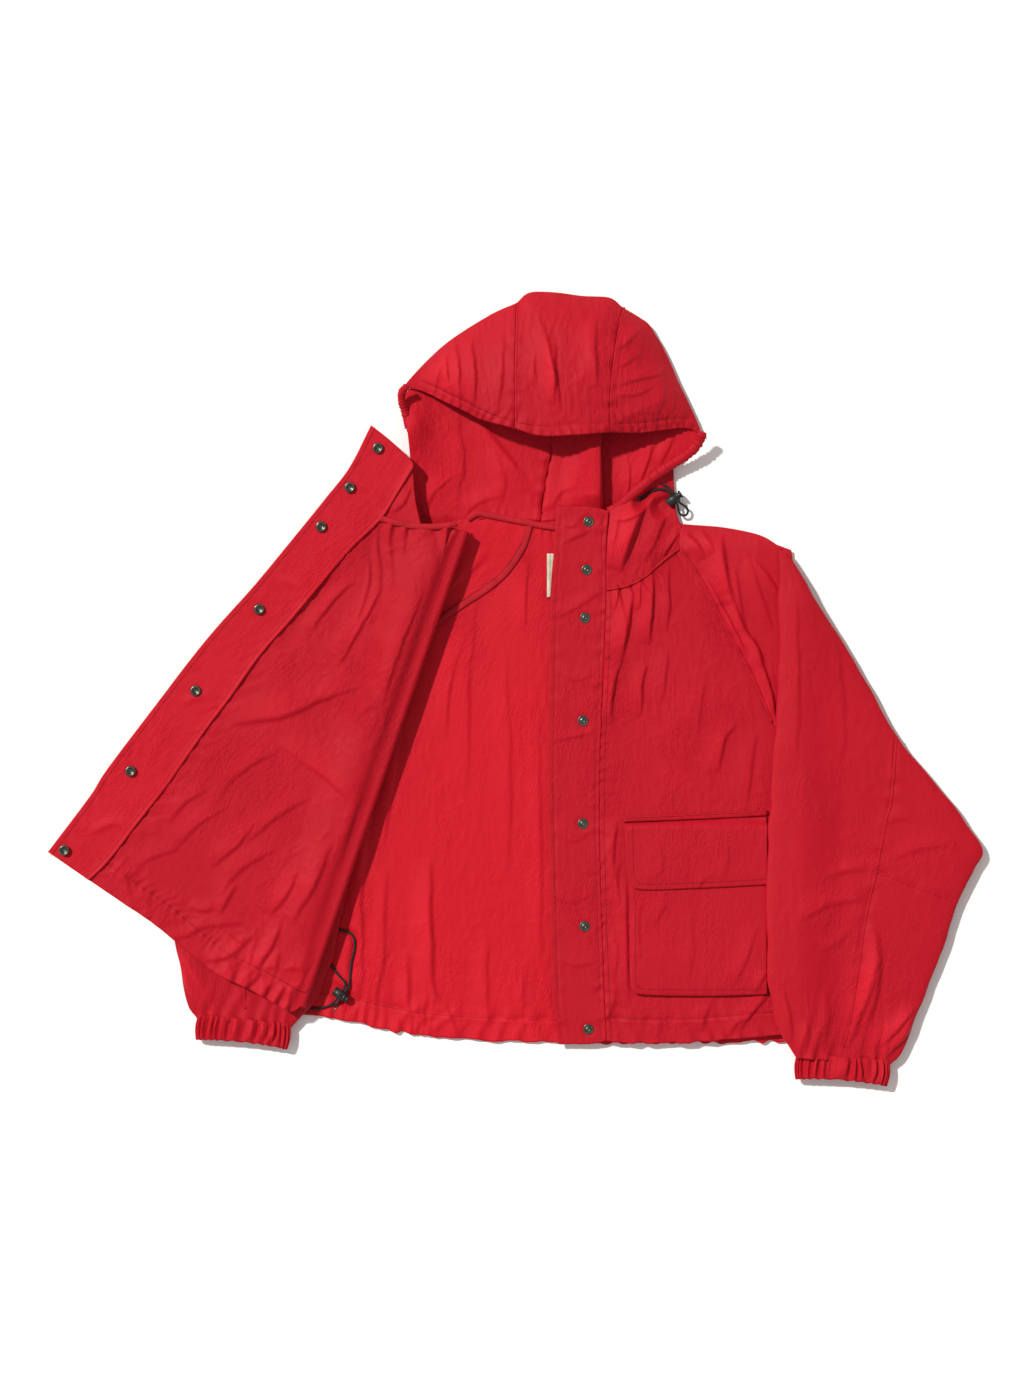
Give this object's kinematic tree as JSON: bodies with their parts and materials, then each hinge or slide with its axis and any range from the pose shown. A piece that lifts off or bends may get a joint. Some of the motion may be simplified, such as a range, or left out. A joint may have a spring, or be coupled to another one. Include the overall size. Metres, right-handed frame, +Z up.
{
  "type": "hooded jacket",
  "caption": "Short hooded raglan jacket of crinkled nylon with a snap front, patch pockets with flaps, elastic cuffs and drawcords, laid open on its back.",
  "frame": {"origin": "on the floor under the middle of the laid-out jacket's outline", "axes": "+X towards the left sleeve, +Y from hem to hood, +Z up out of the floor"},
  "size_m": [1.0333, 0.8713, 0.0463],
  "materials": {
    "nylon": "crinkled, slight sheen",
    "tape": "plain tape",
    "label": "woven, plain",
    "snap_metal": "gunmetal",
    "spring_steel": "bright wire",
    "black_plastic": "moulded",
    "cord": "braided",
    "elastic": "woven elastic"
  },
  "bodies": {
    "body": {"back_panel": "nylon", "left_yoke_back": "nylon", "right_yoke_back": "nylon", "collar_band": "nylon", "left_placket": "nylon", "left_front": "nylon", "left_yoke_front": "nylon", "left_collar": "nylon", "neck_tape": "tape", "neck_label": "label", "left_pocket": "nylon", "snap_stud_1": "snap_metal", "snap_stud_2": "snap_metal", "snap_stud_3": "snap_metal", "snap_stud_4": "snap_metal", "snap_stud_5": "snap_metal", "snap_stud_6": "snap_metal", "snap_stud_7": "snap_metal", "right_front_side": "nylon", "hem_cord": "cord", "hem_eyelet": "snap_metal", "hem_anchor": "black_plastic"},
    "right_front": {"right_front": "nylon", "right_placket": "nylon", "right_neck_tape": "tape", "right_pocket": "nylon", "right_pocket_flap": "nylon", "snap_socket_1": "snap_metal", "snap_socket_2": "snap_metal", "snap_socket_3": "snap_metal", "snap_socket_4": "snap_metal", "snap_socket_5": "snap_metal", "snap_socket_6": "snap_metal", "snap_socket_7": "snap_metal"},
    "left_flap": {"left_pocket_flap": "nylon"},
    "left_sleeve": {"left_sleeve_under": "nylon", "left_sleeve_upper": "nylon", "left_cuff": "nylon", "left_cuff_elastic": "elastic"},
    "right_sleeve": {"right_sleeve_under": "nylon", "right_sleeve_upper": "nylon", "right_cuff": "nylon", "right_cuff_elastic": "elastic"},
    "hood": {"hood_back": "nylon", "hood_crown_right": "nylon", "hood_crown_centre": "nylon", "hood_crown_left": "nylon", "hood_left_side": "nylon", "hood_right_side": "nylon", "hood_left_cord": "cord", "hood_left_eyelet": "snap_metal", "hood_left_anchor": "black_plastic", "hood_right_lock_barrel": "black_plastic"},
    "hood_left_lock": {"hood_left_lock_barrel": "black_plastic", "hood_left_lock_spring": "spring_steel"},
    "hood_left_plunger": {"hood_left_lock_plunger": "black_plastic"},
    "hood_right_plunger": {"hood_right_lock_plunger": "black_plastic"},
    "hem_lock": {"hem_lock_barrel": "black_plastic", "hem_lock_spring": "spring_steel"},
    "hem_plunger": {"hem_lock_plunger": "black_plastic"}
  },
  "joints": [
    {"name": "right_front_fold", "type": "hinge", "parent": "body", "child": "right_front", "pos_m": [-0.145, -0.092, 0.022], "axis": [0.3256, 0.9455, 0], "range_deg": [0, 180]},
    {"name": "left_flap_lift", "type": "hinge", "parent": "body", "child": "left_flap", "pos_m": [0.194, -0.15, 0.0191], "axis": [-1, 0, 0], "range_deg": [0, 150]},
    {"name": "left_sleeve_swing", "type": "hinge", "parent": "body", "child": "left_sleeve", "pos_m": [0.29, 0.138, 0.0115], "axis": [0, 0, 1], "range_deg": [0, 45]},
    {"name": "right_sleeve_swing", "type": "hinge", "parent": "body", "child": "right_sleeve", "pos_m": [-0.134, 0.158, 0.0024], "axis": [0, 0, -1], "range_deg": [0, 40]},
    {"name": "hood_fold", "type": "hinge", "parent": "body", "child": "hood", "pos_m": [0.075, 0.195, 0.011], "axis": [1, 0, 0], "range_deg": [0, 90]},
    {"name": "hood_left_lock_slide", "type": "slide", "parent": "hood", "child": "hood_left_lock", "axis": [-0.5736, 0.8192, 0], "range_m": [0, 0.004]},
    {"name": "hood_left_plunger_press", "type": "slide", "parent": "hood_left_lock", "child": "hood_left_plunger", "axis": [-0.8192, -0.5736, 0], "range_m": [0, 0.002], "stiffness_N_per_m": 300, "springref_m": -0.003},
    {"name": "hood_right_plunger_press", "type": "slide", "parent": "hood", "child": "hood_right_plunger", "axis": [1, 0, 0], "range_m": [0, 0.002], "stiffness_N_per_m": 300, "springref_m": -0.003},
    {"name": "hem_lock_slide", "type": "slide", "parent": "body", "child": "hem_lock", "axis": [0.5592, 0.829, 0], "range_m": [0, 0.004]},
    {"name": "hem_plunger_press", "type": "slide", "parent": "hem_lock", "child": "hem_plunger", "axis": [-0.829, 0.5592, 0], "range_m": [0, 0.002], "stiffness_N_per_m": 300, "springref_m": -0.003}
  ]
}
